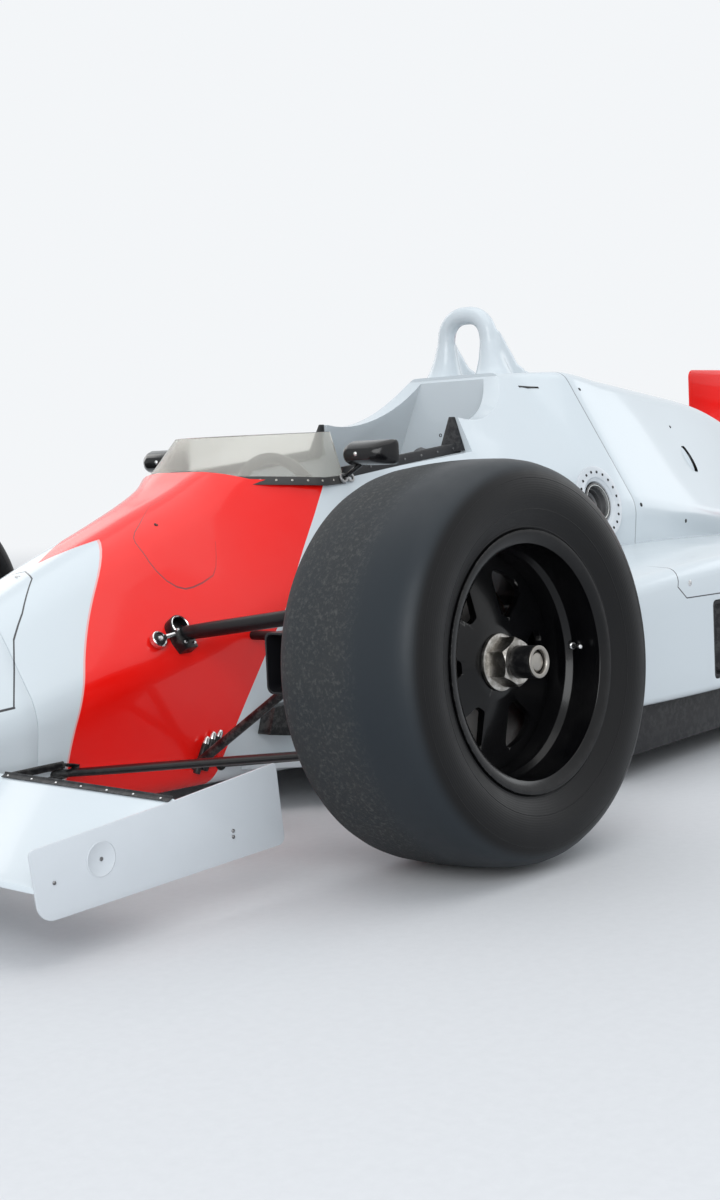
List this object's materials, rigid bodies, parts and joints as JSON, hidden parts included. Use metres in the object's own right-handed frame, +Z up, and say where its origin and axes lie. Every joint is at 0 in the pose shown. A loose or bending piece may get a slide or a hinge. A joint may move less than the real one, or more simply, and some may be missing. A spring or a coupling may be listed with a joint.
{
  "type": "open wheel racing car",
  "caption": "Single seat open wheel racing car with slick tyres, slender nose, front and rear wings, sidepods, low screen and a roll hoop; it rolls and steers.",
  "frame": {"origin": "on the ground under the middle of the car's length and width", "axes": "+X to the nose, +Y to the car's left, +Z up"},
  "size_m": [4.85, 2.0196, 0.998],
  "materials": {
    "body_white": "gloss",
    "wing_red": "gloss",
    "black_composite": "satin",
    "tyre_rubber": "matt",
    "wheel_black": "gloss",
    "hub_steel": "brushed",
    "leg_steel": "satin",
    "upright_alloy": "satin",
    "engine_alloy": "cast",
    "screen_clear": "clear",
    "seat_cloth": "woven",
    "pipe_steel": "heat tinted",
    "core_alloy": "finned",
    "filler_alloy": "machined"
  },
  "bodies": {
    "root": {"nose_cone": "body_white", "tub": "body_white", "cockpit_edging": "black_composite", "engine_cover": "body_white", "sidepod_left": "body_white", "sidepod_right": "body_white", "underbody": "black_composite", "floor_shelves": "body_white", "roll_hoop": "body_white", "windscreen": "screen_clear", "mirrors": "black_composite", "fuel_filler": "filler_alloy", "seat": "seat_cloth", "dashboard": "black_composite", "front_wing": "body_white", "front_endplates": "body_white", "rear_wing": "wing_red", "rear_flap": "wing_red", "rear_endplates": "wing_red", "wing_post": "upright_alloy", "engine": "engine_alloy", "gearbox": "engine_alloy", "exhaust": "pipe_steel", "radiators": "core_alloy", "front_wishbones_left": "leg_steel", "rear_suspension_left": "leg_steel", "front_wishbones_right": "leg_steel", "rear_suspension_right": "leg_steel"},
    "knuckle_left": {"front_upright_left": "upright_alloy"},
    "wheel_front_left": {"tyre_front_left": "tyre_rubber", "rim_front_left": "wheel_black", "hub_front_left": "hub_steel"},
    "wheel_rear_left": {"tyre_rear_left": "tyre_rubber", "rim_rear_left": "wheel_black", "hub_rear_left": "hub_steel"},
    "knuckle_right": {"front_upright_right": "upright_alloy"},
    "wheel_front_right": {"tyre_front_right": "tyre_rubber", "rim_front_right": "wheel_black", "hub_front_right": "hub_steel"},
    "wheel_rear_right": {"tyre_rear_right": "tyre_rubber", "rim_rear_right": "wheel_black", "hub_rear_right": "hub_steel"},
    "steering_wheel": {"steering_wheel": "black_composite"},
    "steering_rack": {"track_rods": "leg_steel"}
  },
  "joints": [
    {"name": "steer_left", "type": "hinge", "parent": "root", "child": "knuckle_left", "pos_m": [1.375, 0.694, 0.325], "axis": [0, -0.0576, 0.9983], "range_deg": [-14, 14]},
    {"name": "steer_right", "type": "hinge", "parent": "root", "child": "knuckle_right", "pos_m": [1.375, -0.694, 0.325], "axis": [0, 0.0576, 0.9983], "range_deg": [-14, 14]},
    {"name": "rack_travel", "type": "slide", "parent": "root", "child": "steering_rack", "axis": [0, -1, 0], "range_m": [-0.028, 0.028]},
    {"name": "steering_column", "type": "hinge", "parent": "root", "child": "steering_wheel", "pos_m": [0.93, 0, 0.545], "axis": [-0.9703, 0, 0.2419], "range_deg": [-170, 170]},
    {"name": "roll_front_left", "type": "hinge", "parent": "knuckle_left", "child": "wheel_front_left", "pos_m": [1.375, 0.852, 0.325], "axis": [0, 0.9983, 0.0576], "continuous": true},
    {"name": "roll_front_right", "type": "hinge", "parent": "knuckle_right", "child": "wheel_front_right", "pos_m": [1.375, -0.852, 0.325], "axis": [0, 0.9983, -0.0576], "continuous": true},
    {"name": "roll_rear_left", "type": "hinge", "parent": "root", "child": "wheel_rear_left", "pos_m": [-1.47, 0.8, 0.343], "axis": [0, 1, 0], "continuous": true},
    {"name": "roll_rear_right", "type": "hinge", "parent": "root", "child": "wheel_rear_right", "pos_m": [-1.47, -0.8, 0.343], "axis": [0, 1, 0], "continuous": true}
  ],
  "couplings": [
    {"joint": "steer_right", "follows": "steer_left", "ratio": 1},
    {"joint": "rack_travel", "follows": "steer_left", "m_per_rad": 0.11},
    {"joint": "steering_column", "follows": "steer_left", "ratio": 12}
  ]
}
